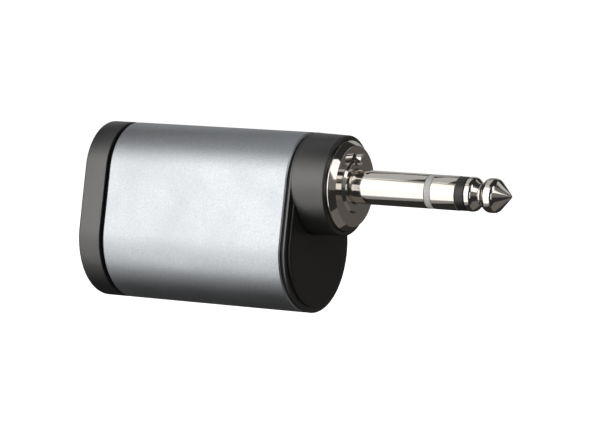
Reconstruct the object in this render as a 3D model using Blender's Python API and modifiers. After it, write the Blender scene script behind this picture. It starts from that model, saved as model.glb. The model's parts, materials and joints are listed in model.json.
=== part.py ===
"""Wireless guitar transmitter: an egg-section housing with a three-contact 6.35 mm jack plug.

The origin is on the plug's axis, at the front face of its collar. +X runs along the plug to its tip and
+Z is up: the round battery lobe hangs below the plug's axis. Outlines and profiles are in millimetres.
"""

import math

import bmesh
import bpy
from mathutils import Vector

MM = 0.001
SNUG = 0.05  # gap left between pieces that are pressed or clamped together
THROUGH = 1.0  # how far a cutter runs past the face that it opens

# Section of the housing: two arcs and the flat sides that touch both
TOP_RADIUS = 9.6
LOBE_RADIUS = 12.24
LOBE_DROP = 12.12
TAPER = math.asin((LOBE_RADIUS - TOP_RADIUS) / LOBE_DROP)
TOP_STEPS = 20
LOBE_STEPS = 26

# Stations along the plug's axis
REAR_END = -53.7
REAR_CAP_FRONT = -48.9
SLEEVE_BACK = -48.15
SLEEVE_FRONT = -9.3
FLANGE_BACK = -8.7
FLANGE_FRONT = -8.2
PANEL_FRONT = -7.7
BOSS_FRONT = -1.63
COLLAR_FACE = 0.0

# Housing walls
SLEEVE_WALL = 1.2
SPIGOT_INSET = SLEEVE_WALL + 0.15
SPIGOT_WALL = 1.3
REAR_WALL = 1.4
REAR_SPIGOT_END = -45.0
FRONT_SPIGOT_END = -12.5
FRONT_FLOOR_BACK = -10.2
SEAL_GROOVE = 0.8
PANEL_INSET = 1.1

# Boss and collar
BOSS_FRONT_RADIUS = 9.375
BOSS_BACK_RADIUS = 9.58
CAVITY_RADIUS = 6.9
WEB_FRONT = -3.05
WEB_BACK = -5.3
COLLAR_RADIUS = 8.46
COLLAR_BACK = -3.0
COLLAR_EDGE = -1.18
COLLAR_FACE_RADIUS = 7.56
HUB_BASE_RADIUS = 5.1
HUB_TOP_RADIUS = 4.55
HUB_HEIGHT = 0.5
COLLAR_SCREW_Y = 5.2

# Plug: each contact's and insulator's front end
PLUG_RADIUS = 3.175
PLUG_STEPS = 32
SLEEVE_TIP = 15.75
MID_INSULATOR_TIP = 16.95
RING_TIP = 21.9
FRONT_INSULATOR_TIP = 23.65
TIP_END = 31.94

# Insertion pin above the plug
PIN_HEIGHT = 5.05
PIN_RADIUS = 1.08
PIN_REACH = 1.85
PIN_STEPS = 24
SHOULDER_RADIUS = 1.5
SHOULDER_FRONT = -4.3
SHOULDER_BACK = -5.0
PIN_TAIL = -8.4
SWITCH_FRONT = -8.6
SWITCH_BACK = -13.05

# Boards, chassis and cell
JACK_BOARD_FRONT = -13.1
JACK_BOARD_BACK = -13.9
BOARD_TOP = 0.1
BOARD_THICK = 1.0
BOARD_FRONT = -15.2
BOARD_STEP = -43.6
BOARD_BACK = -51.2
BOARD_HALF_WIDTH = 8.2
BOARD_NECK_HALF_WIDTH = 6.8
CHASSIS_TOP = -1.2
CHASSIS_BACK = -44.6
CHASSIS_SCREW_Y = 5.5
CHASSIS_HEAD_SEAT = 1.0  # depth of the seats for the chassis screws' heads
CHASSIS_SCREW_Z = -14.0
BAR_STATIONS = {"front": (-19.0, 5.5), "rear": (-42.0, -5.5)}
CELL_RADIUS = 9.2
CELL_FRONT = -14.2
CELL_BACK = -48.2
LIGHT_HEIGHT = 0.6

ALONG_X = (math.pi / 2, 0.0, math.pi / 2)  # turns local X, Y and Z to the frame's Y, Z and X
UPRIGHT = (0.0, 0.0, 0.0)
FACING_BACK = (math.pi / 2, 0.0, -math.pi / 2)
WIRE_SMOOTH = 65  # degrees; a wire's section has few sides

BLACK_PLASTIC = ((0.022, 0.022, 0.023), 0.48, 0.0)
ANODISED = ((0.56, 0.585, 0.62), 0.42, 1.0)
NICKEL = ((0.78, 0.76, 0.73), 0.12, 1.0)
BRASS = ((0.72, 0.55, 0.28), 0.3, 1.0)
STEEL = ((0.5, 0.5, 0.5), 0.3, 1.0)
RUBBER = ((0.012, 0.012, 0.012), 0.75, 0.0)
PALE_NYLON = ((0.66, 0.67, 0.66), 0.45, 0.0)
BOARD_GREEN = ((0.02, 0.12, 0.06), 0.4, 0.0)
CHIP_BLACK = ((0.03, 0.03, 0.032), 0.55, 0.0)


def clear_scene():
    for old in list(bpy.data.objects):
        bpy.data.objects.remove(old)


def make_collection(name):
    collection = bpy.data.collections.new(name)
    bpy.context.scene.collection.children.link(collection)
    return collection


clear_scene()
PARTS = make_collection("wireless_guitar_transmitter")
CUTTERS = make_collection("cutters")


def paint(obj, look):
    colour, roughness, metallic = look
    material = bpy.data.materials.new(obj.name)
    material.use_nodes = True
    shader = material.node_tree.nodes["Principled BSDF"]
    shader.inputs["Base Color"].default_value = (*colour, 1.0)
    shader.inputs["Roughness"].default_value = roughness
    shader.inputs["Metallic"].default_value = metallic
    obj.data.materials.clear()
    obj.data.materials.append(material)


def add(name, data, place=(0.0, 0.0, 0.0), turn=UPRIGHT):
    obj = bpy.data.objects.new(name, data)
    obj.location = [value * MM for value in place]
    obj.rotation_euler = turn
    PARTS.objects.link(obj)
    return obj


def smooth(obj, degrees=35):
    obj.data.shade_smooth()
    obj.data.set_sharp_from_angle(angle=math.radians(degrees))


def as_mesh(curve_object):
    """The curve object's solid as a mesh object, its caps welded on."""
    bpy.context.view_layer.update()
    graph = bpy.context.evaluated_depsgraph_get()
    mesh = bpy.data.meshes.new_from_object(curve_object.evaluated_get(graph))
    work = bmesh.new()
    work.from_mesh(mesh)
    bmesh.ops.remove_doubles(work, verts=work.verts, dist=1e-7)
    bmesh.ops.recalc_face_normals(work, faces=work.faces)
    work.to_mesh(mesh)
    work.free()
    obj = bpy.data.objects.new(curve_object.name, mesh)
    obj.matrix_world = curve_object.matrix_world
    PARTS.objects.link(obj)
    name = curve_object.name
    bpy.data.objects.remove(curve_object)
    obj.name = name
    return obj


def slab(name, loops, low, high, turn):
    """A solid of the outline loops, from low to high along the outline's own normal."""
    curve = bpy.data.curves.new(name, "CURVE")
    curve.dimensions = "2D"
    curve.fill_mode = "BOTH"
    curve.extrude = (high - low) / 2 * MM
    for loop in loops:
        spline = curve.splines.new("POLY")
        spline.points.add(len(loop) - 1)
        for point, (across, up) in zip(spline.points, loop):
            point.co = (across * MM, up * MM, 0.0, 1.0)
        spline.use_cyclic_u = True
    middle = (high + low) / 2
    place = (middle, 0.0, 0.0) if turn == ALONG_X else (0.0, 0.0, middle)
    return as_mesh(add(name, curve, place, turn))


def plate(name, loops, back, front):
    """A solid of outline loops in the Y-Z plane, from one station on the X axis to another."""
    obj = slab(name, loops, back, front, ALONG_X)
    smooth(obj)
    return obj


def turned(name, profile, place=(0.0, 0.0, 0.0), turn=ALONG_X, steps=PLUG_STEPS):
    """A turned piece. The profile holds (radius, height) points down the outer side."""
    mesh = bpy.data.meshes.new(name)
    work = bmesh.new()
    points = [work.verts.new((radius * MM, 0.0, height * MM)) for radius, height in profile]
    edges = [work.edges.new(pair) for pair in zip(points, points[1:])]
    if profile[0][0] > 0:
        edges.append(work.edges.new((points[-1], points[0])))
    bmesh.ops.spin(
        work,
        geom=points + edges,
        cent=(0.0, 0.0, 0.0),
        axis=(0.0, 0.0, 1.0),
        angle=2 * math.pi,
        steps=steps,
    )
    bmesh.ops.remove_doubles(work, verts=work.verts, dist=1e-7)
    bmesh.ops.recalc_face_normals(work, faces=work.faces)
    work.to_mesh(mesh)
    work.free()
    obj = add(name, mesh, place, turn)
    smooth(obj)
    return obj


def block(name, low, high, bevel=0.0):
    """A box between two corners, its edges rounded."""
    mesh = bpy.data.meshes.new(name)
    work = bmesh.new()
    bmesh.ops.create_cube(work, size=1.0)
    sides = [(b - a) * MM for a, b in zip(low, high)]
    bmesh.ops.scale(work, vec=sides, verts=work.verts)
    work.to_mesh(mesh)
    work.free()
    obj = add(name, mesh, [(a + b) / 2 for a, b in zip(low, high)])
    if bevel:
        round_edges(obj, bevel, 1)
    return obj


def rod(name, radius, back, front, y=0.0, z=0.0, segments=24):
    """A cylinder along the X axis, between two stations."""
    mesh = bpy.data.meshes.new(name)
    work = bmesh.new()
    bmesh.ops.create_cone(
        work,
        cap_ends=True,
        segments=segments,
        radius1=radius * MM,
        radius2=radius * MM,
        depth=(front - back) * MM,
    )
    work.to_mesh(mesh)
    work.free()
    obj = add(name, mesh, ((back + front) / 2, y, z), ALONG_X)
    smooth(obj)
    return obj


def upright_rod(name, radius, bottom, top, x, y, segments=16):
    obj = rod(name, radius, bottom, top, segments=segments)
    obj.location = (x * MM, y * MM, (bottom + top) / 2 * MM)
    obj.rotation_euler = UPRIGHT
    return obj


def round_edges(obj, width, segments=2, degrees=40):
    bevel = obj.modifiers.new("Round", "BEVEL")
    bevel.width = width * MM
    bevel.segments = segments
    bevel.limit_method = "ANGLE"
    bevel.angle_limit = math.radians(degrees)


def combine(obj, other, operation):
    PARTS.objects.unlink(other)
    CUTTERS.objects.link(other)
    other.hide_render = True
    other.display_type = "WIRE"
    boolean = obj.modifiers.new(operation.title(), "BOOLEAN")
    boolean.operation = operation
    boolean.object = other


def cut(obj, other):
    combine(obj, other, "DIFFERENCE")


def join(obj, other):
    combine(obj, other, "UNION")


def arc(centre_up, radius, start, end, steps):
    """Points on an arc about the Z axis, from one angle to another."""
    angles = [start + (end - start) * step / steps for step in range(steps + 1)]
    return [(radius * math.cos(angle), centre_up + radius * math.sin(angle)) for angle in angles]


def lobe_arc(inset):
    return arc(-LOBE_DROP, LOBE_RADIUS - inset, math.pi - TAPER, 2 * math.pi + TAPER, LOBE_STEPS)


def egg(inset):
    """The housing's section, moved in by inset all round."""
    return arc(0.0, TOP_RADIUS - inset, TAPER, math.pi - TAPER, TOP_STEPS) + lobe_arc(inset)


def side_point(inset, height, side):
    """The point of the inset section's flat side at a height, on side -1 or 1."""
    across = (TOP_RADIUS - inset - height * math.sin(TAPER)) / math.cos(TAPER)
    return (side * across, height)


def lobe(inset, top):
    """The lower part of the inset section as an open path, from its left side to its right."""
    return [side_point(inset, top, -1), *lobe_arc(inset), side_point(inset, top, 1)]


def circle(radius, centre, steps=16):
    angles = [2 * math.pi * step / steps for step in range(steps)]
    return [(centre[0] + radius * math.cos(a), centre[1] + radius * math.sin(a)) for a in angles]


def body_sleeve():
    """The bead-blasted aluminium extrusion between the two caps."""
    obj = plate("body_sleeve", [egg(0.0), egg(SLEEVE_WALL)], SLEEVE_BACK, SLEEVE_FRONT)
    round_edges(obj, 0.25, 1, 60)
    paint(obj, ANODISED)


def rear_cap():
    """A moulded cap over the antenna, with a spigot in the sleeve and a hole for the light pipe."""
    obj = plate("rear_cap", [egg(0.0)], REAR_END, REAR_CAP_FRONT)
    round_edges(obj, 0.4)
    spigot = plate("rear_spigot", [egg(SPIGOT_INSET)], REAR_CAP_FRONT - 0.5, REAR_SPIGOT_END)
    join(obj, spigot)
    inside = [egg(SPIGOT_INSET + SPIGOT_WALL)]
    cut(obj, plate("rear_cavity", inside, REAR_END + REAR_WALL, REAR_SPIGOT_END + THROUGH))
    hole_end = REAR_END + REAR_WALL + THROUGH
    cut(obj, rod("light_hole", 1.15, REAR_END - THROUGH, hole_end, z=LIGHT_HEIGHT))
    paint(obj, BLACK_PLASTIC)


def seals():
    """Rubber rings that fill the grooves at both ends of the sleeve."""
    inner = egg(SPIGOT_INSET - SNUG)
    back = REAR_CAP_FRONT + SNUG
    rear = plate("rear_seal", [egg(SEAL_GROOVE), inner], back, SLEEVE_BACK - SNUG)
    paint(rear, RUBBER)
    front = plate("front_seal", [egg(0.4), inner], SLEEVE_FRONT + SNUG, FLANGE_BACK - SNUG)
    paint(front, RUBBER)


def front_cap():
    """The moulded cap that carries the plug: a flange, the round boss, and a spigot in the sleeve."""
    obj = plate("front_cap", [egg(0.0)], FLANGE_BACK, FLANGE_FRONT)
    round_edges(obj, 0.12, 1)
    join(obj, plate("front_floor", [egg(2.0)], FRONT_FLOOR_BACK, FLANGE_BACK + 0.2))
    spigot = [egg(SPIGOT_INSET), egg(SPIGOT_INSET + SPIGOT_WALL)]
    join(obj, plate("front_spigot", spigot, FRONT_SPIGOT_END, FLANGE_BACK + 0.1))
    boss = turned(
        "boss",
        [
            (0.0, BOSS_FRONT),
            (BOSS_FRONT_RADIUS - 0.3, BOSS_FRONT),
            (BOSS_FRONT_RADIUS, BOSS_FRONT - 0.3),
            (BOSS_BACK_RADIUS, FLANGE_BACK + 0.3),
            (0.0, FLANGE_BACK + 0.3),
        ],
        steps=64,
    )
    join(obj, boss)
    cut(obj, rod("collar_seat", COLLAR_RADIUS + 0.1, WEB_FRONT, 0.0, segments=64))
    cut(obj, rod("jack_cavity", CAVITY_RADIUS, FRONT_SPIGOT_END - THROUGH, WEB_BACK, segments=40))
    cut(obj, rod("jack_hole", 4.0, WEB_BACK - THROUGH, WEB_FRONT + THROUGH))
    cut(obj, rod("guide_hole", 1.8, WEB_BACK - THROUGH, WEB_FRONT + THROUGH, z=PIN_HEIGHT))
    seat = FLANGE_FRONT - CHASSIS_HEAD_SEAT
    for side in (-1, 1):
        y = side * COLLAR_SCREW_Y
        cut(obj, rod("collar_screw_hole", 0.9, WEB_BACK - THROUGH, WEB_FRONT + THROUGH, y=y, segments=16))
        y = side * CHASSIS_SCREW_Y
        hole = rod("chassis_screw_hole", 0.95, FRONT_FLOOR_BACK - THROUGH, 0.0, y, CHASSIS_SCREW_Z, 16)
        cut(obj, hole)
        cut(obj, rod("head_seat", 1.75, seat, 0.0, y, CHASSIS_SCREW_Z, 16))
    paint(obj, BLACK_PLASTIC)


def front_panel():
    """The raised cover on the lobe's face, cut round the boss. It hides the two chassis screws."""
    obj = plate("front_panel", [egg(PANEL_INSET)], FLANGE_FRONT + SNUG, PANEL_FRONT)
    cut(obj, rod("boss_clearance", BOSS_BACK_RADIUS + SNUG, -20.0, 5.0, segments=64))
    round_edges(obj, 0.08, 1, 60)
    paint(obj, BLACK_PLASTIC)


def plug_collar():
    """The polished disc round the plug, with its low hub, drilled for the pin and for two screws."""
    bore = PLUG_RADIUS + SNUG
    bore_chamfer = 0.25
    profile = [
        (HUB_TOP_RADIUS, HUB_HEIGHT),
        (HUB_BASE_RADIUS, COLLAR_FACE),
        (COLLAR_FACE_RADIUS, COLLAR_FACE),
        (COLLAR_RADIUS, COLLAR_EDGE),
        (COLLAR_RADIUS, COLLAR_BACK),
        (bore, COLLAR_BACK),
        (bore, HUB_HEIGHT - bore_chamfer),
        (bore + bore_chamfer, HUB_HEIGHT),
    ]
    obj = turned("plug_collar", profile, steps=64)
    hole_radius = PIN_RADIUS + 0.1
    cut(obj, rod("pin_hole", hole_radius, COLLAR_BACK - THROUGH, THROUGH, z=PIN_HEIGHT, segments=PIN_STEPS))
    for side in (-1, 1):
        y = side * COLLAR_SCREW_Y
        cut(obj, rod("blind_hole", 0.8, COLLAR_BACK - THROUGH, -1.6, y=y, segments=16))
    paint(obj, NICKEL)


def tube(name, look, outer, bore, back, front, flange=None, steps=PLUG_STEPS):
    """A turned tube; flange gives the (radius, back station) of a wide part at its front end."""
    profile = [(outer, front), (outer, back), (bore, back), (bore, front)]
    if flange:
        profile[:1] = [(flange[0], front), (flange[0], flange[1]), (outer, flange[1])]
    paint(turned(name, profile, steps=steps), look)


def plug_contacts():
    """The sleeve, ring and the two insulators, each with a tube that runs back inside the last one."""
    seam = SNUG / 2
    tube("plug_sleeve", NICKEL, 2.65, 2.35, -6.4, SLEEVE_TIP - seam, (PLUG_RADIUS, COLLAR_BACK - SNUG))
    collar = (3.15, SLEEVE_TIP + seam)
    tube("sleeve_insulator", PALE_NYLON, 2.25, 1.75, -8.2, MID_INSULATOR_TIP - seam, collar)
    collar = (PLUG_RADIUS, MID_INSULATOR_TIP + seam)
    tube("plug_ring", NICKEL, 1.65, 1.3, -9.4, RING_TIP - seam, collar)
    collar = (3.13, RING_TIP + seam)
    tube("ring_insulator", BLACK_PLASTIC, 1.2, 0.9, -10.8, FRONT_INSULATOR_TIP - seam, collar)


def rounded(corners, steps=3):
    """(radius, station) points through (radius, station, fillet radius) corners, each fillet an arc."""
    points = [corners[0][:2]]
    for before, corner, after in zip(corners, corners[1:], corners[2:]):
        at = Vector(corner[:2])
        inward = (Vector(before[:2]) - at).normalized()
        onward = (Vector(after[:2]) - at).normalized()
        half_angle = inward.angle(onward) / 2
        centre = at + (inward + onward).normalized() * corner[2] / math.sin(half_angle)
        reach = corner[2] / math.tan(half_angle)
        start = at + inward * reach - centre
        end = at + onward * reach - centre
        for step in range(steps + 1):
            outward = start.slerp(end, step / steps).normalized()
            points.append(tuple(centre + outward * corner[2]))
    points.append(corners[-1][:2])
    return points


def plug_tip():
    """The tip contact: nose, waist for a jack's spring, shoulder, and the rod that runs back inside."""
    rod_radius = 0.8
    rod_end = -12.6
    back = FRONT_INSULATOR_TIP + SNUG / 2
    outside = rounded(
        [
            (0.0, TIP_END),
            (0.28, TIP_END, 0.25),
            (PLUG_RADIUS, 29.2, 1.4),
            (PLUG_RADIUS, 27.42, 1.4),
            (1.95, 26.2, 0.25),
            (PLUG_RADIUS, 24.95, 1.2),
            (PLUG_RADIUS, back + 0.15, 0.1),
            (PLUG_RADIUS - 0.25, back),
        ]
    )
    profile = [*outside, (rod_radius, back), (rod_radius, rod_end), (0.0, rod_end)]
    paint(turned("plug_tip", profile), NICKEL)


def lug(name, bore, outer, back, front, tab_low, tab_high):
    """A solder washer with a tab that runs back to the jack board."""
    profile = [(outer, front), (outer, back), (bore, back), (bore, front)]
    obj = turned(name, profile, steps=20)
    tab_back = JACK_BOARD_FRONT + SNUG
    join(obj, block(name + "_tab", (tab_back, *tab_low), (front - 0.1, *tab_high)))
    paint(obj, BRASS)


def lugs_and_spacers():
    """Solder lugs on the three contacts' tails, with insulating washers between them."""
    lug("sleeve_lug", 2.7, 3.05, -6.0, -5.5, (-0.9, -3.2), (0.9, -2.8))
    lug("ring_lug", 1.7, 2.6, -9.0, -8.5, (-2.8, -0.7), (-2.4, 0.7))
    lug("tip_lug", 0.85, 2.0, -11.6, -11.1, (1.5, -0.6), (1.9, 0.6))
    tube("rear_spacer", PALE_NYLON, 2.6, 2.3, -8.2, -6.5, steps=20)
    tube("ring_spacer", PALE_NYLON, 2.2, 1.25, -10.75, -9.5, steps=20)


def pin_parts():
    """The insertion pin and the switch slider it pushes, on one axis, with their guide and spring."""
    axis = bpy.data.objects.new("pin_axis", None)
    axis.location = (0.0, 0.0, PIN_HEIGHT * MM)
    PARTS.objects.link(axis)
    chamfer = 0.18
    tail_radius = 0.9
    profile = [
        (0.0, PIN_REACH),
        (PIN_RADIUS - chamfer, PIN_REACH),
        (PIN_RADIUS, PIN_REACH - chamfer),
        (PIN_RADIUS, SHOULDER_FRONT),
        (SHOULDER_RADIUS, SHOULDER_FRONT),
        (SHOULDER_RADIUS, SHOULDER_BACK),
        (tail_radius, SHOULDER_BACK),
        (tail_radius, PIN_TAIL),
        (0.0, PIN_TAIL),
    ]
    pin = turned("power_pin", profile, steps=PIN_STEPS)
    pin.parent = axis
    paint(pin, NICKEL)
    slider = rod("switch_slider", tail_radius, -10.8, PIN_TAIL - SNUG, segments=16)
    slider.parent = axis
    paint(slider, PALE_NYLON)
    guide_radius = 1.75
    lip_radius = PIN_RADIUS + 0.07
    bore_radius = 1.6
    bore_front = -3.95
    profile = [
        (guide_radius, -3.4),
        (guide_radius, -8.3),
        (bore_radius, -8.3),
        (bore_radius, bore_front),
        (lip_radius, bore_front),
        (lip_radius, -3.4),
    ]
    guide = turned("pin_guide", profile, (0.0, 0.0, PIN_HEIGHT), steps=PIN_STEPS)
    paint(guide, PALE_NYLON)
    pin_spring()


def pin_spring():
    """A compression spring between the pin's shoulder and the switch."""
    wire_radius = 0.14
    coil_radius = 1.22
    turns = 6
    points_per_turn = 12
    front = SHOULDER_BACK - SNUG - wire_radius
    back = SWITCH_FRONT + SNUG + wire_radius
    curve = bpy.data.curves.new("pin_spring", "CURVE")
    curve.dimensions = "3D"
    curve.bevel_depth = wire_radius * MM
    curve.bevel_resolution = 1
    curve.use_fill_caps = True
    spline = curve.splines.new("POLY")
    count = turns * points_per_turn
    spline.points.add(count)
    for step, point in enumerate(spline.points):
        angle = 2 * math.pi * step / points_per_turn
        along = back + (front - back) * step / count
        across = coil_radius * math.cos(angle)
        up = coil_radius * math.sin(angle)
        point.co = (across * MM, up * MM, along * MM, 1.0)
    obj = as_mesh(add("pin_spring", curve, (0.0, 0.0, PIN_HEIGHT), ALONG_X))
    smooth(obj, WIRE_SMOOTH)
    paint(obj, STEEL)


def detect_switch():
    """The switch behind the pin, soldered to the jack board, with a bore for its slider."""
    half_width = 2.1
    half_height = 1.4
    low = (SWITCH_BACK, -half_width, PIN_HEIGHT - half_height)
    high = (SWITCH_FRONT, half_width, PIN_HEIGHT + half_height)
    obj = block("detect_switch", low, high, 0.15)
    cut(obj, rod("slider_bore", 1.0, -12.7, 0.0, z=PIN_HEIGHT, segments=16))
    paint(obj, CHIP_BLACK)


def machine_screw(name, place, turn, head_radius, head_height, shank_radius, length):
    """A pan-head screw with a hexagon socket. Its head's underside is at place and its shank runs on."""
    profile = [
        (0.0, head_height),
        (head_radius * 0.75, head_height),
        (head_radius, head_height * 0.6),
        (head_radius, 0.0),
        (shank_radius, 0.0),
        (shank_radius, 0.3 - length),
        (shank_radius * 0.6, -length),
        (0.0, -length),
    ]
    obj = turned(name, profile, place, turn, steps=16)
    socket_depth = head_height * 0.6
    bottom = head_height - socket_depth
    socket = upright_rod(name + "_socket", head_radius * 0.45, bottom, head_height + THROUGH, 0.0, 0.0, 6)
    socket.parent = obj
    cut(obj, socket)
    paint(obj, STEEL)


def fasteners():
    """Screws that hold the collar to the web, the front cap to the chassis and the board to its bars."""
    for side, word in ((-1, "left"), (1, "right")):
        place = (WEB_BACK - SNUG, side * COLLAR_SCREW_Y, 0.0)
        machine_screw("collar_screw_" + word, place, FACING_BACK, 1.4, 0.9, 0.72, 3.5)
        place = (FLANGE_FRONT - CHASSIS_HEAD_SEAT + SNUG, side * CHASSIS_SCREW_Y, CHASSIS_SCREW_Z)
        machine_screw("chassis_screw_" + word, place, ALONG_X, 1.6, 0.8, 0.75, 3.8)
    for word, (x, y) in BAR_STATIONS.items():
        place = (x, y, BOARD_TOP + SNUG)
        machine_screw("board_screw_" + word, place, UPRIGHT, 1.3, 0.8, 0.62, 2.3)


def inner_chassis():
    """The moulded carrier: a trough round the cell, a bulkhead for the front cap and two board bars."""
    outer_inset = 1.6
    inner_inset = 2.5
    bulkhead_back = -13.6
    spigot_clear = FRONT_SPIGOT_END - 0.25
    jack_clearance = 8.2
    trough = lobe(outer_inset, CHASSIS_TOP) + lobe(inner_inset, CHASSIS_TOP)[::-1]
    obj = plate("inner_chassis", [trough], CHASSIS_BACK, spigot_clear)
    bulkhead = plate("bulkhead", [lobe(3.0, -1.5)], bulkhead_back, FRONT_FLOOR_BACK - 0.2)
    join(bulkhead, plate("bulkhead_rim", [lobe(2.0, -1.6)], bulkhead_back + 0.1, spigot_clear - 0.1))
    cut(bulkhead, rod("jack_space", jack_clearance, -20.0, 0.0, segments=40))
    for side in (-1, 1):
        y = side * CHASSIS_SCREW_Y
        cut(bulkhead, rod("pilot", 0.82, -13.3, -5.0, y, CHASSIS_SCREW_Z, 16))
    join(obj, bulkhead)
    for word, (x, y) in BAR_STATIONS.items():
        bar = block("bar_" + word, (x - 1.7, -8.0, -2.6), (x + 1.7, 8.0, CHASSIS_TOP + 0.05))
        join(obj, bar)
        cut(obj, upright_rod("bar_pilot_" + word, 0.7, -2.35, 0.0, x, y))
    paint(obj, ((0.05, 0.05, 0.055), 0.55, 0.0))


def boards():
    """The round jack board behind the plug, the long main board and the header that joins them."""
    jack_board = rod("jack_board", 7.2, JACK_BOARD_BACK, JACK_BOARD_FRONT, segments=40)
    paint(jack_board, BOARD_GREEN)
    half = BOARD_HALF_WIDTH
    neck = BOARD_NECK_HALF_WIDTH
    outline = [
        (BOARD_FRONT, -half),
        (BOARD_FRONT, half),
        (BOARD_STEP, half),
        (BOARD_STEP - 1.0, neck),
        (BOARD_BACK, neck),
        (BOARD_BACK, -neck),
        (BOARD_STEP - 1.0, -neck),
        (BOARD_STEP, -half),
    ]
    holes = [circle(0.85, place) for place in BAR_STATIONS.values()]
    board = slab("main_board", [outline, *holes], BOARD_TOP - BOARD_THICK, BOARD_TOP, UPRIGHT)
    paint(board, BOARD_GREEN)
    top = BOARD_TOP + SNUG
    header = block("board_header", (-17.6, -4.0, top), (JACK_BOARD_BACK - SNUG, 4.0, top + 2.4), 0.15)
    paint(header, CHIP_BLACK)


def chip(name, x, y, length, width, height, look=CHIP_BLACK, bevel=0.1):
    """A component standing on the main board."""
    bottom = BOARD_TOP + SNUG
    low = (x - length / 2, y - width / 2, bottom)
    high = (x + length / 2, y + width / 2, bottom + height)
    paint(block(name, low, high, bevel), look)


def rf_shield():
    """The folded can over the radio chip, open underneath."""
    bottom = BOARD_TOP + SNUG
    obj = block("rf_shield", (-40.0, -6.2, bottom), (-28.0, 6.2, bottom + 2.6))
    work = bmesh.new()
    work.from_mesh(obj.data)
    lowest = min(work.faces, key=lambda face: face.calc_center_median().z)
    bmesh.ops.delete(work, geom=[lowest], context="FACES_ONLY")
    work.to_mesh(obj.data)
    work.free()
    wall = obj.modifiers.new("Sheet", "SOLIDIFY")
    wall.thickness = 0.2 * MM
    wall.offset = -1.0
    wall.use_even_offset = True
    paint(obj, ((0.75, 0.75, 0.74), 0.3, 1.0))


def components():
    """What the main board carries."""
    rf_shield()
    chip("radio_chip", -34.0, 0.0, 6.0, 6.0, 0.9)
    chip("converter_chip", -23.4, -1.0, 5.0, 5.0, 0.9)
    chip("charger_chip", -19.2, -5.2, 3.0, 3.0, 0.8)
    chip("power_inductor", -25.0, 5.6, 4.0, 4.0, 2.0, ((0.09, 0.09, 0.1), 0.6, 0.0), 0.5)
    chip("crystal", -25.2, -5.8, 3.2, 2.5, 0.8, ((0.7, 0.68, 0.6), 0.3, 1.0))
    chip("antenna", -48.4, -3.6, 2.2, 6.0, 1.1, ((0.82, 0.84, 0.8), 0.5, 0.0))
    chip("status_led", -50.65, 0.0, 0.9, 1.6, 0.9, ((0.85, 0.85, 0.78), 0.3, 0.0))


def light_pipe():
    """The clear pin that brings the status light to the rear face."""
    profile = [
        (0.0, -51.45),
        (1.7, -51.45),
        (1.7, REAR_END + REAR_WALL + SNUG),
        (1.1, REAR_END + REAR_WALL + SNUG),
        (1.1, REAR_END + 0.1),
        (1.0, REAR_END),
        (0.0, REAR_END),
    ]
    obj = turned("light_pipe", profile, (0.0, 0.0, LIGHT_HEIGHT), steps=24)
    paint(obj, ((0.86, 0.88, 0.88), 0.15, 0.0))


def battery():
    """The lithium cell in the lobe, with its end board, leads, connector and foam pad."""
    nub_radius = 2.8
    crimp = CELL_FRONT - 1.0
    profile = [
        (0.0, CELL_FRONT),
        (nub_radius, CELL_FRONT),
        (nub_radius, crimp),
        (CELL_RADIUS - 0.6, crimp),
        (CELL_RADIUS, crimp - 0.5),
        (CELL_RADIUS, crimp - 2.2),
        (CELL_RADIUS - 0.6, crimp - 2.7),
        (CELL_RADIUS, crimp - 3.2),
        (CELL_RADIUS, CELL_BACK + 0.4),
        (CELL_RADIUS - 0.4, CELL_BACK),
        (0.0, CELL_BACK),
    ]
    cell = turned("battery_cell", profile, (0.0, 0.0, -LOBE_DROP), steps=40)
    paint(cell, ((0.08, 0.2, 0.42), 0.4, 0.0))
    end_board = block("cell_end_board", (-49.1, -3.0, -17.0), (-48.5, 3.0, -6.0))
    paint(end_board, BOARD_GREEN)
    connector = block("battery_connector", (-51.0, 3.4, -4.1), (-48.5, 6.4, -0.95), 0.2)
    paint(connector, ((0.8, 0.78, 0.7), 0.5, 0.0))
    pad = rod("battery_pad", 4.2, -52.1, -49.3, z=-14.6, segments=20)
    paint(pad, ((0.1, 0.1, 0.1), 0.9, 0.0))
    lead("battery_lead_red", 1.2, 5.6, ((0.5, 0.02, 0.02), 0.45, 0.0))
    lead("battery_lead_black", -1.2, 4.3, ((0.01, 0.01, 0.01), 0.45, 0.0))


def lead(name, start_y, end_y, look):
    """An insulated wire from the cell's end board up to the connector's underside."""
    wire_radius = 0.35
    start = (-49.1 - wire_radius - SNUG, start_y, -8.4)
    end = (-49.9, end_y, -4.1 - wire_radius)
    steps = 8
    curve = bpy.data.curves.new(name, "CURVE")
    curve.dimensions = "3D"
    curve.bevel_depth = wire_radius * MM
    curve.bevel_resolution = 1
    curve.use_fill_caps = True
    spline = curve.splines.new("POLY")
    spline.points.add(steps)
    for step, point in enumerate(spline.points):
        turn = math.pi / 2 * step / steps
        x = start[0] + (end[0] - start[0]) * math.sin(turn)
        y = start[1] + (end[1] - start[1]) * (step / steps)
        z = start[2] + (end[2] - start[2]) * (1 - math.cos(turn))
        point.co = (x * MM, y * MM, z * MM, 1.0)
    obj = as_mesh(add(name, curve))
    smooth(obj, WIRE_SMOOTH)
    paint(obj, look)


body_sleeve()
rear_cap()
seals()
front_cap()
front_panel()
plug_collar()
plug_contacts()
plug_tip()
lugs_and_spacers()
pin_parts()
detect_switch()
fasteners()
inner_chassis()
boards()
components()
light_pipe()
battery()
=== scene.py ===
"""Wireless guitar transmitter: the visual model, its finishes and the studio round it.

X runs along the plug to its tip, Z is up and the plug's axis is X itself. Profiles are in millimetres.
"""

import json
import math

import bmesh
import bpy
from mathutils import Matrix, Vector


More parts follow.
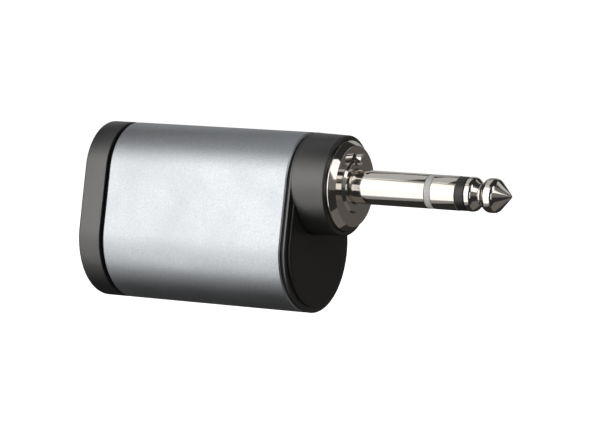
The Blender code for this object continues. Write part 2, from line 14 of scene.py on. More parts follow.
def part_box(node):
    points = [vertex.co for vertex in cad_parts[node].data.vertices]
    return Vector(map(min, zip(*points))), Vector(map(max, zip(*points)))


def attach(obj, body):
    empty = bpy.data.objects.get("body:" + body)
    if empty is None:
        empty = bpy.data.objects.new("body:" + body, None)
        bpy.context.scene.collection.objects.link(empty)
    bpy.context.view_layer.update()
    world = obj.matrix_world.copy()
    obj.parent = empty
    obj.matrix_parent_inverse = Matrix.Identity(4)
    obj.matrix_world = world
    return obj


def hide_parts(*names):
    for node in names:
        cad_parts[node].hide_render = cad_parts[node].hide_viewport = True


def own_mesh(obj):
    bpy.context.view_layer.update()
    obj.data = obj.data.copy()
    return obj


MM = 0.001
HOUSING = "housing"
PIN_BODY = "insertion_pin"

WELD = 1e-8  # points of a mesh that are nearer than this, in metres, become one
THROUGH = 1.0  # how far a cutter runs past the face that it opens
SNUG = 0.05  # the gap between pieces that fit together

# Housing: insets are from its outer section, and an edge is the radius that rounds it
FACE_INSET = 1.5  # the width of the outer strip of an end face
SLEEVE_CHAMFER = 0.25
SLEEVE_CHAMFER_EDGE = 0.08
SLEEVE_RIM_EDGE = 0.06
SLEEVE_WALL = 1.2
SPIGOT_INSET = 1.35
SPIGOT_WALL = 1.3
SPIGOT_EDGE = 0.1
INNER_EDGE = 0.05
REAR_WALL = 1.4
REAR_EDGE = 0.4
SEAM_EDGE = 0.12
FLANGE_FRONT = -8.2
FRONT_FLOOR_BACK = -10.2
REAR_SEAL_INSET = 0.8
FRONT_SEAL_INSET = 0.4
SEAL_EDGE = 0.08
PANEL_INSET = 1.1
PANEL_EDGE = 0.1
BOSS_FRONT_RADIUS = 9.375
BOSS_BACK_RADIUS = 9.58
BOSS_OVERLAP = 0.1
BOSS_EDGE = 0.3
WEB_FRONT = -3.05
WEB_BACK = -5.3
CAVITY_RADIUS = 6.9
JACK_HOLE_RADIUS = 4.0
GUIDE_HOLE_RADIUS = 1.8
COLLAR_SCREW_Y = 5.2
COLLAR_SCREW_HOLE = 0.9
CHASSIS_SCREW_Y = 5.5
CHASSIS_SCREW_Z = -14.0
CHASSIS_SCREW_HOLE = 0.95
CHASSIS_HEAD_HOLE = 1.75
CHASSIS_HEAD_SEAT = 1.0

# Light window in the rear cover
LIGHT_HEIGHT = 0.6
LIGHT_RADIUS = 1.1
LIGHT_HOLE_RADIUS = 1.15
LIGHT_FLANGE_RADIUS = 1.7
LIGHT_FLANGE_EDGE = 0.1
LIGHT_EDGE = 0.12

# Collar
COLLAR_RADIUS = 8.46
COLLAR_BACK_EDGE = 0.1
COLLAR_SEAT_RADIUS = 8.56
COLLAR_CHAMFER_BACK = -1.18
COLLAR_CHAMFER_EDGE = 0.12
COLLAR_FACE_RADIUS = 7.56
COLLAR_FACE_EDGE = 0.09
COLLAR_BORE = 3.225
COLLAR_BORE_CHAMFER = 0.25
COLLAR_THREAD_RADIUS = 0.8
COLLAR_THREAD_FRONT = -1.6
HUB_BASE_RADIUS = 5.02
HUB_TOP_RADIUS = 4.72
HUB_EDGE = 0.06

# Plug: each piece's node, the radii of its wide part, its tube and its bore, and its edge
PLUG_RADIUS = 3.175
PLUG_STACK = {
    "sleeve_contact": ("plug_sleeve", PLUG_RADIUS, 2.65, 2.35, 0.09),
    "light_insulator": ("sleeve_insulator", 3.15, 2.25, 1.75, 0.03),
    "ring_contact": ("plug_ring", PLUG_RADIUS, 1.65, 1.3, 0.09),
    "black_insulator": ("ring_insulator", 3.13, 1.2, 0.9, 0.04),
}
TIP_ROD_RADIUS = 0.8
TIP_POINT_RADIUS = 0.28
TIP_POINT_EDGE = 0.25
TIP_NOSE_BACK = 29.2
TIP_NOSE_EDGE = 1.4
TIP_BARREL_BACK = 27.42
TIP_WAIST = 26.2
TIP_WAIST_RADIUS = 1.95
TIP_WAIST_EDGE = 0.25
TIP_SHOULDER_FRONT = 24.95
TIP_SHOULDER_EDGE = 1.2
TIP_CHAMFER_LENGTH = 0.15
TIP_CHAMFER_DEPTH = 0.25
TIP_CHAMFER_EDGE = 0.1

# Insertion pin and its spring
PIN_HEIGHT = 5.05
PIN_RADIUS = 1.08
PIN_EDGE = 0.2
PIN_HOLE_RADIUS = 1.18
PIN_SHOULDER_RADIUS = 1.5
PIN_SHOULDER_FRONT = -4.3
PIN_SHOULDER_BACK = -5.0
PIN_TAIL_RADIUS = 0.9
PIN_INNER_EDGE = 0.05
SPRING_RADIUS = 1.22
SPRING_WIRE = 0.14
SPRING_TURNS = 6

# Steps round curves
TOP_STEPS = 48
LOBE_STEPS = 68
SIDE_STEPS = 12
TURN_STEPS = 128
PIN_STEPS = 64
EDGE_STEPS = 4
COVER_EDGE_STEPS = 6
PIN_EDGE_STEPS = 5
TIP_EDGE_STEPS = 10
SPRING_STEPS = 24
SPRING_SIDES = 10

# Angles in degrees past which an edge is drawn sharp
SHARP = 30
SPRING_SHARP = 50

# Noise that breaks up a finish: feature sizes in millimetres, and the part of its range that shows
FINE_DETAIL = 3.0
CLOUD_SIZE = 9.0
CLOUD_DETAIL = 4.0
SCUFF_SIZE = 1.4
SCUFF_DETAIL = 6.0
SCUFF_STRETCH = (0.35, 1.0, 1.0)
FINE_RANGE = (0.3, 0.7)
CLOUD_RANGE = (0.45, 0.75)
ROUGH_RANGE = (0.3, 0.7)
SCUFF_RANGE = (0.66, 0.74)
CLOUD_STRENGTH = 0.5
SCUFF_LIGHTER = 1.25
SCUFF_LIFT = 0.01
SCUFF_ROUGHER = 0.12
BUMP_STRENGTH = 0.6
EVEN = (1.0, 1.0, 1.0)
ALONG = (0.12, 1.0, 1.0)  # stretches a grain along the plug

# What some finishes have besides their colour, roughness and metallic value
SHINY_BLACK_IOR = 2.0
WINDOW_TRANSMISSION = 0.55
NYLON_SUBSURFACE = 0.15
NYLON_SUBSURFACE_DEPTH = 1.0

# Softboxes: azimuth and elevation in degrees, distance, width and height in metres, radiance and tint
WHITE = (1.0, 1.0, 1.0)
IVORY = (1.0, 0.985, 0.96)
WARM = (1.0, 0.93, 0.85)
SOFTBOXES = {
    "key_light": (-30.0, 6.0, 0.7, 0.7, 1.5, 0.9, IVORY),
    "key_core": (-30.0, 17.0, 0.62, 0.6, 0.42, 0.68, IVORY),
    "key_halo": (-30.0, 9.0, 0.9, 1.1, 2.5, 0.38, IVORY),
    "side_light": (63.0, 37.0, 0.8, 0.34, 0.58, 1.15, WHITE),
    "side_halo": (70.0, 20.0, 0.95, 1.1, 0.9, 0.14, IVORY),
    "front_strip": (31.0, 0.0, 0.8, 0.16, 0.5, 1.1, WHITE),
    "far_light": (132.0, 28.0, 0.8, 0.5, 0.5, 0.5, WHITE),
    "back_light": (210.0, 16.0, 0.8, 0.8, 0.7, 0.36, WHITE),
    "over_light": (-105.0, 63.0, 0.8, 0.8, 0.3, 0.45, WHITE),
    "low_light": (-45.0, -50.0, 0.8, 0.7, 0.28, 0.24, WHITE),
    "bounce": (150.0, -8.0, 0.8, 0.8, 0.8, 0.07, WARM),
    "under_light": (100.0, -60.0, 0.5, 0.5, 0.5, 0.12, WARM),
}
ROOM_COLOUR = (0.028, 0.027, 0.026, 1.0)

# Floor, in metres
FLOOR_COLOUR = (0.9, 0.9, 0.9)
FLOOR_ROUGHNESS = 0.9
FLOOR_GLOW = (1.0, 1.0, 1.0, 1.0)
FLOOR_DROP = 0.12
FLOOR_RADIUS = 3.0
FLOOR_BEND = 0.8
FLOOR_BEND_STEPS = 8
FLOOR_TURNS = 64
WALL_HEIGHT = 1.5

# Camera: its place in metres, and its angles in degrees
CAMERA_PLACE = (0.2434, -0.4520, 0.0660)
CAMERA_AZIMUTH = 29.55
CAMERA_ELEVATION = 7.95
CAMERA_ROLL = -0.27
CAMERA_LENS = 170.4
CAMERA_NEAR = 0.01
CAMERA_FAR = 50.0

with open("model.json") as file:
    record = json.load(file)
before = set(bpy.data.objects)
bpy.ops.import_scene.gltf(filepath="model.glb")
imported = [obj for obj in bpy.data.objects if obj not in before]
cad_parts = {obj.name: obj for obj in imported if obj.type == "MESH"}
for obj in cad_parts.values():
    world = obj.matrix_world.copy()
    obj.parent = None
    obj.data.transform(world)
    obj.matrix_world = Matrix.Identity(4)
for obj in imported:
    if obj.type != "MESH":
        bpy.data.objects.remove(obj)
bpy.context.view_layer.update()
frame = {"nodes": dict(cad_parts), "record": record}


def span(node):
    """A CAD node's first and last station along X, in millimetres."""
    low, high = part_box(node)
    return low.x / MM, high.x / MM


sleeve_low, sleeve_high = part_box("body_sleeve")
TOP_RADIUS = sleeve_high.z / MM
LOBE_RADIUS = sleeve_high.y / MM
LOBE_DROP = -sleeve_low.z / MM - LOBE_RADIUS
TAPER = math.asin((LOBE_RADIUS - TOP_RADIUS) / LOBE_DROP)
SLOTS = {part["node"]: part["material_slot"] for part in frame["record"]["subparts"]}


# Shapes


def arc(centre_up, radius, start, end, steps):
    """(y, z) points on an arc about the X axis, from one angle to another."""
    angles = [start + (end - start) * step / steps for step in range(steps + 1)]
    return [(radius * math.cos(angle), centre_up + radius * math.sin(angle)) for angle in angles]


def between(start, end, steps):
    """The points that divide a straight side, without its ends."""
    return [
        tuple(a + (b - a) * step / steps for a, b in zip(start, end)) for step in range(1, steps)
    ]


def egg(inset):
    """The housing's section, moved in by inset all round."""
    top = arc(0.0, TOP_RADIUS - inset, TAPER, math.pi - TAPER, TOP_STEPS)
    lobe = arc(-LOBE_DROP, LOBE_RADIUS - inset, math.pi - TAPER, 2 * math.pi + TAPER, LOBE_STEPS)
    left = between(top[-1], lobe[0], SIDE_STEPS)
    right = between(lobe[-1], top[0], SIDE_STEPS)
    return [*top, *left, *lobe, *right]


def circle_at(y=0.0, z=0.0, steps=TURN_STEPS):
    """A section function: the circle of a given radius about an axis along X."""
    turns = [2 * math.pi * step / steps for step in range(steps)]

    def ring(radius):
        return [(y + radius * math.cos(turn), z + radius * math.sin(turn)) for turn in turns]

    return ring


def fillet(before, corner, after, radius, steps):
    """Points on the arc that rounds a corner between two others."""
    at = Vector(corner)
    inward = (Vector(before) - at).normalized()
    onward = (Vector(after) - at).normalized()
    half_angle = inward.angle(onward) / 2
    centre = at + (inward + onward).normalized() * radius / math.sin(half_angle)
    reach = radius / math.tan(half_angle)
    start = at + inward * reach - centre
    end = at + onward * reach - centre
    points = []
    for step in range(steps + 1):
        outward = start.slerp(end, step / steps).normalized()
        points.append(tuple(centre + outward * radius))
    return points


def rounded(corners, closed=False, steps=EDGE_STEPS):
    """(offset, station) points through (offset, station[, fillet radius]) corners."""
    count = len(corners)
    points = []
    for index, corner in enumerate(corners):
        inner = closed or 0 < index < count - 1
        if len(corner) < 3 or not inner:
            points.append(tuple(corner[:2]))
            continue
        before = corners[index - 1][:2]
        after = corners[(index + 1) % count][:2]
        points += fillet(before, corner[:2], after, corner[2], steps)
    return points


def shade(obj, degrees=SHARP):
    """Smooth shading, with the sharper edges kept."""
    obj.data.shade_smooth()
    obj.data.set_sharp_from_angle(angle=math.radians(degrees))


def skinned(name, rings, closed=False, ends=True):
    """A mesh over a row of rings of points. A closed row joins its last ring to its first."""
    work = bmesh.new()
    rows = [[work.verts.new(point) for point in ring] for ring in rings]
    following = rows[1:] + rows[:1] if closed else rows[1:]
    for near, far in zip(rows, following):
        for a, b, c, d in zip(near, near[1:] + near[:1], far[1:] + far[:1], far):
            work.faces.new((a, b, c, d))
    if ends and not closed:
        work.faces.new(rows[0])
        work.faces.new(rows[-1])
    bmesh.ops.remove_doubles(work, verts=work.verts, dist=WELD)
    bmesh.ops.recalc_face_normals(work, faces=work.faces)
    mesh = bpy.data.meshes.new(name)
    work.to_mesh(mesh)
    work.free()
    obj = bpy.data.objects.new(name, mesh)
    bpy.context.scene.collection.objects.link(obj)
    return obj


def swept(name, profile, ring, closed=False):
    """A solid whose section ring(offset) is swept through the profile's (offset, station) points."""
    rings = []
    for offset, station in profile:
        rings.append([(station * MM, y * MM, z * MM) for y, z in ring(offset)])
    obj = skinned(name, rings, closed)
    shade(obj)
    return obj


def combine(obj, other, operation):
    """Joins or cuts obj by the other object, which goes."""
    modifier = obj.modifiers.new(operation, "BOOLEAN")
    modifier.operation = operation
    modifier.object = other
    graph = bpy.context.evaluated_depsgraph_get()
    mesh = bpy.data.meshes.new_from_object(obj.evaluated_get(graph))
    obj.modifiers.clear()
    obj.data = mesh
    bpy.data.objects.remove(other)
    shade(obj)


def drill(obj, radius, back, front, y=0.0, z=0.0, steps=PIN_STEPS):
    """Cuts a round hole along X, from one station to another."""
    cutter = swept("drill", [(radius, back), (radius, front)], circle_at(y, z, steps))
    combine(obj, cutter, "DIFFERENCE")


# Finishes


def make_finish(name, colour, roughness, metallic=0.0):
    """A material with a plain shader, ready for its grain."""
    material = bpy.data.materials.new(name)
    material.use_nodes = True
    shader = material.node_tree.nodes["Principled BSDF"]
    shader.inputs["Base Color"].default_value = (*colour, 1.0)
    shader.inputs["Roughness"].default_value = roughness
    shader.inputs["Metallic"].default_value = metallic
    return material


def noise(tree, size, stretch=EVEN, detail=FINE_DETAIL):
    """Noise that keeps its place on the piece, with features of about the given size in millimetres."""
    place = tree.nodes.new("ShaderNodeTexCoord")
    scale = tree.nodes.new("ShaderNodeMapping")
    scale.inputs["Scale"].default_value = [value / (size * MM) for value in stretch]
    texture = tree.nodes.new("ShaderNodeTexNoise")
    texture.inputs["Scale"].default_value = 1.0
    texture.inputs["Detail"].default_value = detail
    tree.links.new(place.outputs["Object"], scale.inputs["Vector"])
    tree.links.new(scale.outputs["Vector"], texture.inputs["Vector"])
    return texture.outputs["Fac"]


def spread(tree, value, shown, low, high):
    """The shown part of a value's range carried to low and high, and held at its ends."""
    node = tree.nodes.new("ShaderNodeMapRange")
    node.inputs["From Min"].default_value = shown[0]
    node.inputs["From Max"].default_value = shown[1]
    node.inputs["To Min"].default_value = low
    node.inputs["To Max"].default_value = high
    tree.links.new(value, node.inputs["Value"])
    return node.outputs["Result"]


def blend(tree, factor, first, second):
    """A colour between two; each is a colour or another node's output."""
    node = tree.nodes.new("ShaderNodeMix")
    node.data_type = "RGBA"
    tree.links.new(factor, node.inputs["Factor"])
    for socket, colour in (("A", first), ("B", second)):
        target = next(s for s in node.inputs if s.name == socket and s.type == "RGBA")
        if isinstance(colour, bpy.types.NodeSocket):
            tree.links.new(colour, target)
        else:
            target.default_value = (*colour, 1.0)
    return next(s for s in node.outputs if s.type == "RGBA")


def add_grain(material, grain, depth, mottle=0.08, rough_spread=0.06, wear=0.0, stretch=EVEN):
    """Gives a finish its grain, a bump of that size and depth in millimetres, with variation and wear."""
    tree = material.node_tree
    shader = tree.nodes["Principled BSDF"]
    base = shader.inputs["Base Color"].default_value[:3]
    roughness = shader.inputs["Roughness"].default_value
    fine = noise(tree, grain, stretch)
    broad = noise(tree, CLOUD_SIZE, detail=CLOUD_DETAIL)
    darker = [channel * (1 - mottle) for channel in base]
    lighter = [min(1.0, channel * (1 + mottle)) for channel in base]
    colour = blend(tree, spread(tree, fine, FINE_RANGE, 0.0, 1.0), darker, lighter)
    cloud = [channel * (1 - mottle / 2) for channel in base]
    clouds = spread(tree, broad, CLOUD_RANGE, 0.0, CLOUD_STRENGTH)
    colour = blend(tree, clouds, colour, cloud)
    margin = rough_spread / 2
    rough = spread(tree, broad, ROUGH_RANGE, roughness - margin, roughness + margin)
    if wear:
        speckle = noise(tree, SCUFF_SIZE, SCUFF_STRETCH, SCUFF_DETAIL)
        scuffs = spread(tree, speckle, SCUFF_RANGE, 0.0, wear)
        worn = [min(1.0, channel * SCUFF_LIGHTER + SCUFF_LIFT) for channel in base]
        colour = blend(tree, scuffs, colour, worn)
        extra = tree.nodes.new("ShaderNodeMath")
        extra.operation = "MULTIPLY_ADD"
        extra.inputs[1].default_value = SCUFF_ROUGHER
        tree.links.new(scuffs, extra.inputs[0])
        tree.links.new(rough, extra.inputs[2])
        rough = extra.outputs["Value"]
    tree.links.new(colour, shader.inputs["Base Color"])
    tree.links.new(rough, shader.inputs["Roughness"])
    bump = tree.nodes.new("ShaderNodeBump")
    bump.inputs["Strength"].default_value = BUMP_STRENGTH
    bump.inputs["Distance"].default_value = depth * MM
    tree.links.new(fine, bump.inputs["Height"])
    tree.links.new(bump.outputs["Normal"], shader.inputs["Normal"])


# Each slot's colour, roughness, metallic value and grain
FINISHES = {
    "anodised_aluminium": (
        (0.542, 0.568, 0.60), 0.41, 1.0,
        dict(grain=0.24, depth=0.03, mottle=0.12, wear=0.25),
    ),
    "black_plastic": (
        (0.012, 0.012, 0.0125), 0.37, 0.0,
        dict(grain=0.26, depth=0.03, mottle=0.2, wear=0.3),
    ),
    "gloss_black_plastic": (
        (0.028, 0.027, 0.026), 0.3, 0.0,
        dict(grain=0.3, depth=0.002, mottle=0.1, wear=0.3),
    ),
    "black_rubber": ((0.008, 0.008, 0.008), 0.78, 0.0, dict(grain=0.2, depth=0.02, mottle=0.2)),
    "polished_nickel": (
        (0.84, 0.80, 0.75), 0.085, 1.0,
        dict(grain=0.25, depth=0.0006, mottle=0.03, rough_spread=0.04, wear=0.5, stretch=ALONG),
    ),
    "tinned_brass": ((0.75, 0.70, 0.58), 0.28, 1.0, dict(grain=0.3, depth=0.004, wear=0.4)),
    "steel": ((0.52, 0.52, 0.53), 0.3, 1.0, dict(grain=0.25, depth=0.004, wear=0.4)),
    "spring_steel": ((0.45, 0.45, 0.46), 0.28, 1.0, dict(grain=0.15, depth=0.003)),
    "pale_nylon": ((0.72, 0.725, 0.72), 0.38, 0.0, dict(grain=0.3, depth=0.003, mottle=0.04)),
    "chassis_plastic": ((0.05, 0.05, 0.055), 0.5, 0.0, dict(grain=0.2, depth=0.01, mottle=0.15)),
    "circuit_board": ((0.02, 0.12, 0.06), 0.36, 0.0, dict(grain=0.5, depth=0.006, mottle=0.25)),
    "chip_epoxy": ((0.03, 0.03, 0.032), 0.55, 0.0, dict(grain=0.12, depth=0.006, mottle=0.2)),
    "ferrite": ((0.09, 0.09, 0.095), 0.6, 0.0, dict(grain=0.1, depth=0.006, mottle=0.2)),
    "shield_tin": ((0.74, 0.74, 0.73), 0.26, 1.0, dict(grain=0.4, depth=0.004, wear=0.4)),
    "ceramic": ((0.80, 0.82, 0.78), 0.45, 0.0, dict(grain=0.15, depth=0.003, mottle=0.05)),
    "clear_plastic": ((0.84, 0.87, 0.88), 0.16, 0.0, dict(grain=0.4, depth=0.001, mottle=0.03)),
    "cell_sleeve": (
        (0.06, 0.17, 0.40), 0.34, 0.0,
        dict(grain=0.5, depth=0.006, mottle=0.1, wear=0.3),
    ),
    "connector_nylon": ((0.80, 0.78, 0.70), 0.45, 0.0, dict(grain=0.3, depth=0.004, mottle=0.05)),
    "foam": ((0.10, 0.10, 0.10), 0.9, 0.0, dict(grain=0.4, depth=0.06, mottle=0.3)),
    "red_insulation": ((0.50, 0.02, 0.02), 0.42, 0.0, dict(grain=0.3, depth=0.004)),
    "black_insulation": ((0.01, 0.01, 0.01), 0.42, 0.0, dict(grain=0.3, depth=0.004)),
}


def make_finishes():
    """Every slot's material, by slot."""
    made = {}
    shaders = {}
    for slot, (colour, roughness, metallic, grain) in FINISHES.items():
        made[slot] = make_finish(slot, colour, roughness, metallic)
        add_grain(made[slot], **grain)
        shaders[slot] = made[slot].node_tree.nodes["Principled BSDF"]
    nylon = shaders["pale_nylon"].inputs
    shaders["black_plastic"].inputs["IOR"].default_value = SHINY_BLACK_IOR
    shaders["clear_plastic"].inputs["Transmission Weight"].default_value = WINDOW_TRANSMISSION
    nylon["Subsurface Weight"].default_value = NYLON_SUBSURFACE
    nylon["Subsurface Scale"].default_value = NYLON_SUBSURFACE_DEPTH * MM
    return made


finishes = make_finishes()


def dress_frame():
    """Gives every CAD node the finish of its slot in the record."""
    for node, slot in SLOTS.items():
        slots = frame["nodes"][node].data.materials
        slots.clear()
        slots.append(finishes[slot])


def settle(obj, node, body=HOUSING):
    """The piece stands for a CAD node, takes its slot's finish and rides on its body."""
    slot = SLOTS[node]
    obj.data.materials.clear()
    obj.data.materials.append(finishes[slot])
    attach(obj, body)
    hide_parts(node)


# Housing


def aluminium_sleeve():
    """The egg-section tube, with a chamfer round each end."""
    back, front = span("body_sleeve")
    corners = [
        (0.0, front - SLEEVE_CHAMFER, SLEEVE_CHAMFER_EDGE),
        (SLEEVE_CHAMFER, front, SLEEVE_RIM_EDGE),
        (SLEEVE_WALL, front, INNER_EDGE),
        (SLEEVE_WALL, back, INNER_EDGE),
        (SLEEVE_CHAMFER, back, SLEEVE_RIM_EDGE),
        (0.0, back + SLEEVE_CHAMFER, SLEEVE_CHAMFER_EDGE),
    ]
    settle(swept("aluminium_sleeve", rounded(corners, True), egg, True), "body_sleeve")


def spigot(seam, end, floor):
    """Corners of a cover's spigot, from its seam to its end and inside to the cover's floor."""
    inside = SPIGOT_INSET + SPIGOT_WALL
    return [
        (0.0, seam, SEAM_EDGE),
        (SPIGOT_INSET, seam, INNER_EDGE),
        (SPIGOT_INSET, end, SPIGOT_EDGE),
        (inside, end, SPIGOT_EDGE),
        (inside, floor),
    ]


def rear_cover():
    """End wall and spigot, with the hole for the light window."""
    back, spigot_end = span("rear_cap")
    seam = span("rear_seal")[0] - SNUG
    corners = [
        (FACE_INSET, back),
        (0.0, back, REAR_EDGE),
        *spigot(seam, spigot_end, back + REAR_WALL),
    ]
    obj = swept("rear_cover", rounded(corners, steps=COVER_EDGE_STEPS), egg)
    hole_end = back + REAR_WALL + THROUGH
    drill(obj, LIGHT_HOLE_RADIUS, back - THROUGH, hole_end, z=LIGHT_HEIGHT)
    settle(obj, "rear_cap")


def gaskets():
    """The rubber rings in the grooves at both ends of the sleeve."""
    inner = SPIGOT_INSET - SNUG
    for name, node, outer in (
        ("rear_gasket", "rear_seal", REAR_SEAL_INSET),
        ("front_gasket", "front_seal", FRONT_SEAL_INSET),
    ):
        back, front = span(node)
        corners = [
            (outer, front, SEAL_EDGE),
            (inner, front),
            (inner, back),
            (outer, back, SEAL_EDGE),
        ]
        settle(swept(name, rounded(corners, True), egg, True), node)


def front_cover():
    """Flange, boss, floor and spigot, with the seat for the collar and the screws' holes."""
    spigot_end, boss_front = span("front_cap")
    seam = span("front_seal")[1] + SNUG
    corners = [
        (FACE_INSET, FLANGE_FRONT),
        (0.0, FLANGE_FRONT, SEAM_EDGE),
        *spigot(seam, spigot_end, FRONT_FLOOR_BACK),
    ]
    obj = swept("front_cover", rounded(corners), egg)
    boss_corners = [
        (0.0, boss_front),
        (BOSS_FRONT_RADIUS, boss_front, BOSS_EDGE),
        (BOSS_BACK_RADIUS, seam + BOSS_OVERLAP),
        (0.0, seam + BOSS_OVERLAP),
    ]
    boss = swept("boss", rounded(boss_corners, steps=COVER_EDGE_STEPS), circle_at())
    combine(obj, boss, "UNION")
    drill(obj, COLLAR_SEAT_RADIUS, WEB_FRONT, THROUGH, steps=TURN_STEPS)
    drill(obj, CAVITY_RADIUS, spigot_end - THROUGH, WEB_BACK)
    web = (WEB_BACK - THROUGH, WEB_FRONT + THROUGH)
    drill(obj, JACK_HOLE_RADIUS, *web)
    drill(obj, GUIDE_HOLE_RADIUS, *web, z=PIN_HEIGHT)
    for side in (-1, 1):
        drill(obj, COLLAR_SCREW_HOLE, *web, y=side * COLLAR_SCREW_Y)
        place = (side * CHASSIS_SCREW_Y, CHASSIS_SCREW_Z)
        drill(obj, CHASSIS_SCREW_HOLE, FRONT_FLOOR_BACK - THROUGH, 0.0, *place)
        drill(obj, CHASSIS_HEAD_HOLE, FLANGE_FRONT - CHASSIS_HEAD_SEAT, 0.0, *place)
    settle(obj, "front_cap")


def lobe_panel():
    """The raised cover on the lobe's face, cut round the boss."""
    back, front = span("front_panel")
    corners = [
        (PANEL_INSET + FACE_INSET, front),
        (PANEL_INSET, front, PANEL_EDGE),
        (PANEL_INSET, back),
        (PANEL_INSET + FACE_INSET, back),
    ]
    obj = swept("lobe_panel", rounded(corners), egg)
    drill(obj, BOSS_BACK_RADIUS + SNUG, back - THROUGH, front + THROUGH, steps=TURN_STEPS)
    settle(obj, "front_panel")


def collar_disc():
    """The polished disc with its hub, bored for the plug, the pin and two screws."""
    back, hub_front = span("plug_collar")
    corners = [
        (HUB_TOP_RADIUS, hub_front, HUB_EDGE),
        (HUB_BASE_RADIUS, 0.0, INNER_EDGE),
        (COLLAR_FACE_RADIUS, 0.0, COLLAR_FACE_EDGE),
        (COLLAR_RADIUS, COLLAR_CHAMFER_BACK, COLLAR_CHAMFER_EDGE),
        (COLLAR_RADIUS, back, COLLAR_BACK_EDGE),
        (COLLAR_BORE, back),
        (COLLAR_BORE, hub_front - COLLAR_BORE_CHAMFER, INNER_EDGE),
        (COLLAR_BORE + COLLAR_BORE_CHAMFER, hub_front, INNER_EDGE),
    ]
    obj = swept("collar_disc", rounded(corners, True), circle_at(), True)
    drill(obj, PIN_HOLE_RADIUS, back - THROUGH, THROUGH, z=PIN_HEIGHT)
    for side in (-1, 1):
        place = side * COLLAR_SCREW_Y
        drill(obj, COLLAR_THREAD_RADIUS, back - THROUGH, COLLAR_THREAD_FRONT, y=place)
    settle(obj, "plug_collar")


# Plug and insertion pin


def plug():
    """The turned contacts and insulators: the wide part of each shows, and its tube runs back inside."""
    wide_back = span("plug_collar")[0] - SNUG
    for name, (node, radius, tube_radius, bore, edge) in PLUG_STACK.items():
        back, front = span(node)
        corners = [
            (radius, front, edge),
            (radius, wide_back, edge),
            (tube_radius, wide_back),
            (tube_radius, back),
            (bore, back),
            (bore, front),
        ]
        settle(swept(name, rounded(corners, True), circle_at(), True), node)
        wide_back = front + SNUG


def tip_contact():
    """Nose, waist for a jack's spring, shoulder, and the rod that runs back inside."""
    rod_end, tip_end = span("plug_tip")
    back = span("ring_insulator")[1] + SNUG
    corners = [
        (0.0, tip_end),
        (TIP_POINT_RADIUS, tip_end, TIP_POINT_EDGE),
        (PLUG_RADIUS, TIP_NOSE_BACK, TIP_NOSE_EDGE),
        (PLUG_RADIUS, TIP_BARREL_BACK, TIP_NOSE_EDGE),
        (TIP_WAIST_RADIUS, TIP_WAIST, TIP_WAIST_EDGE),
        (PLUG_RADIUS, TIP_SHOULDER_FRONT, TIP_SHOULDER_EDGE),
        (PLUG_RADIUS, back + TIP_CHAMFER_LENGTH, TIP_CHAMFER_EDGE),
        (PLUG_RADIUS - TIP_CHAMFER_DEPTH, back),
        (TIP_ROD_RADIUS, back),
        (TIP_ROD_RADIUS, rod_end),
        (0.0, rod_end),
    ]
    obj = swept("tip_contact", rounded(corners, steps=TIP_EDGE_STEPS), circle_at())
    settle(obj, "plug_tip")


def insertion_button():
    """The sprung pin beside the plug, with the shoulder that stops it and its tail."""
    back, front = span("power_pin")
    corners = [
        (0.0, front),
        (PIN_RADIUS, front, PIN_EDGE),
        (PIN_RADIUS, PIN_SHOULDER_FRONT, PIN_INNER_EDGE),
        (PIN_SHOULDER_RADIUS, PIN_SHOULDER_FRONT, PIN_INNER_EDGE),
        (PIN_SHOULDER_RADIUS, PIN_SHOULDER_BACK, PIN_INNER_EDGE),
        (PIN_TAIL_RADIUS, PIN_SHOULDER_BACK),
        (PIN_TAIL_RADIUS, back, PIN_INNER_EDGE),
        (0.0, back),
    ]
    ring = circle_at(z=PIN_HEIGHT, steps=PIN_STEPS)
    obj = swept("insertion_button", rounded(corners, steps=PIN_EDGE_STEPS), ring)
    settle(obj, "power_pin", PIN_BODY)


def return_spring():
    """The coil between the pin's shoulder and the switch, made as one fixed shape. The real one closes up
    as the pin goes in.
    """
    back, front = span("pin_spring")
    first = back + SPRING_WIRE
    rise = front - SPRING_WIRE - first
    count = SPRING_TURNS * SPRING_STEPS
    rings = []
    for step in range(count + 1):
        angle = 2 * math.pi * step / SPRING_STEPS
        outward = Vector((0.0, math.cos(angle), math.sin(angle)))
        onward = Vector((0.0, -math.sin(angle), math.cos(angle))) * SPRING_RADIUS
        onward.x = rise / (2 * math.pi * SPRING_TURNS)
        across = onward.normalized().cross(outward)
        centre = outward * SPRING_RADIUS
        centre += Vector((first + rise * step / count, 0.0, PIN_HEIGHT))
        ring = []
        for side in range(SPRING_SIDES):
            turn = 2 * math.pi * side / SPRING_SIDES
            offset = outward * math.cos(turn) + across * math.sin(turn)
            ring.append((centre + offset * SPRING_WIRE) * MM)
        rings.append(ring)
    obj = skinned("return_spring", rings)
    shade(obj, SPRING_SHARP)
    settle(obj, "pin_spring")
    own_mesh(obj)


def light_window():
    """The clear window in the rear cover, with the flange that holds it inside."""
    back, front = span("light_pipe")
    flange_back = back + REAR_WALL + SNUG
    corners = [
        (0.0, front),
        (LIGHT_FLANGE_RADIUS, front, LIGHT_FLANGE_EDGE),
        (LIGHT_FLANGE_RADIUS, flange_back, LIGHT_FLANGE_EDGE),
        (LIGHT_RADIUS, flange_back),
        (LIGHT_RADIUS, back, LIGHT_EDGE),
        (0.0, back),
    ]
    ring = circle_at(z=LIGHT_HEIGHT, steps=PIN_STEPS)
    settle(swept("light_window", rounded(corners), ring), "light_pipe")


# Studio


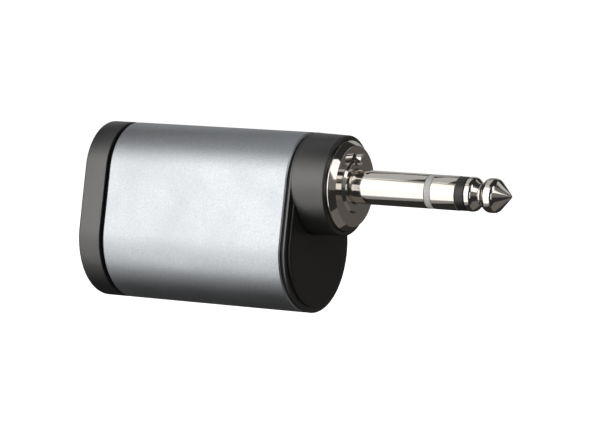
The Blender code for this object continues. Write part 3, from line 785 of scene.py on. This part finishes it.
def softbox(name, azimuth, elevation, distance, width, height, radiance, tint):
    """A rectangular area light that faces the origin."""
    data = bpy.data.lights.new(name, "AREA")
    data.shape = "RECTANGLE"
    data.size = width
    data.size_y = height
    data.energy = radiance * math.pi * width * height
    data.color = tint
    obj = bpy.data.objects.new(name, data)
    bpy.context.scene.collection.objects.link(obj)
    turn, lift = math.radians(azimuth), math.radians(elevation)
    level = math.cos(lift)
    towards = Vector((math.sin(turn) * level, -math.cos(turn) * level, math.sin(lift)))
    obj.location = towards * distance
    obj.rotation_euler = (math.pi / 2 - lift, 0.0, turn)
    obj.visible_camera = False


def lights():
    """Every softbox of the studio."""
    for name, values in SOFTBOXES.items():
        softbox(name, *values)


def surroundings():
    """A dim room, so that the light comes from the softboxes."""
    world = bpy.data.worlds.new("studio")
    world.use_nodes = True
    world.node_tree.nodes["Background"].inputs["Color"].default_value = ROOM_COLOUR
    bpy.context.scene.world = world


def pale_floor():
    """A plain white floor that curves up into a wall all round. It doesn't show in the metal."""
    wall_foot = FLOOR_RADIUS - FLOOR_BEND
    profile = [(0.0, -FLOOR_DROP)]
    for step in range(FLOOR_BEND_STEPS + 1):
        angle = math.pi / 2 * step / FLOOR_BEND_STEPS
        height = FLOOR_BEND * (1 - math.cos(angle)) - FLOOR_DROP
        profile.append((wall_foot + FLOOR_BEND * math.sin(angle), height))
    profile.append((FLOOR_RADIUS, WALL_HEIGHT))
    ring = circle_at(steps=FLOOR_TURNS)
    rings = [[(x, y, height) for x, y in ring(radius)] for radius, height in profile]
    obj = skinned("floor", rings, ends=False)
    material = make_finish("floor", FLOOR_COLOUR, FLOOR_ROUGHNESS)
    add_grain(material, grain=2.0, depth=0.05, mottle=0.01)
    shader = material.node_tree.nodes["Principled BSDF"]
    shader.inputs["Emission Color"].default_value = FLOOR_GLOW
    shader.inputs["Emission Strength"].default_value = 1.0
    obj.data.materials.append(material)
    obj.visible_glossy = False
    obj.visible_diffuse = False
    obj.visible_shadow = False


def camera():
    """The photo's camera."""
    data = bpy.data.cameras.new("camera")
    data.lens = CAMERA_LENS
    data.clip_start = CAMERA_NEAR
    data.clip_end = CAMERA_FAR
    obj = bpy.data.objects.new("camera", data)
    bpy.context.scene.collection.objects.link(obj)
    turn = Matrix.Rotation(math.radians(CAMERA_AZIMUTH), 3, "Z")
    lift = Matrix.Rotation(math.radians(90.0 - CAMERA_ELEVATION), 3, "X")
    roll = Matrix.Rotation(math.radians(CAMERA_ROLL), 3, "Z")
    obj.rotation_euler = (turn @ lift @ roll).to_euler()
    obj.location = CAMERA_PLACE
    bpy.context.scene.camera = obj


dress_frame()
aluminium_sleeve()
rear_cover()
gaskets()
front_cover()
lobe_panel()
collar_disc()
plug()
tip_contact()
insertion_button()
return_spring()
light_window()
lights()
surroundings()
pale_floor()
camera()
bpy.context.scene.view_settings.view_transform = "Standard"
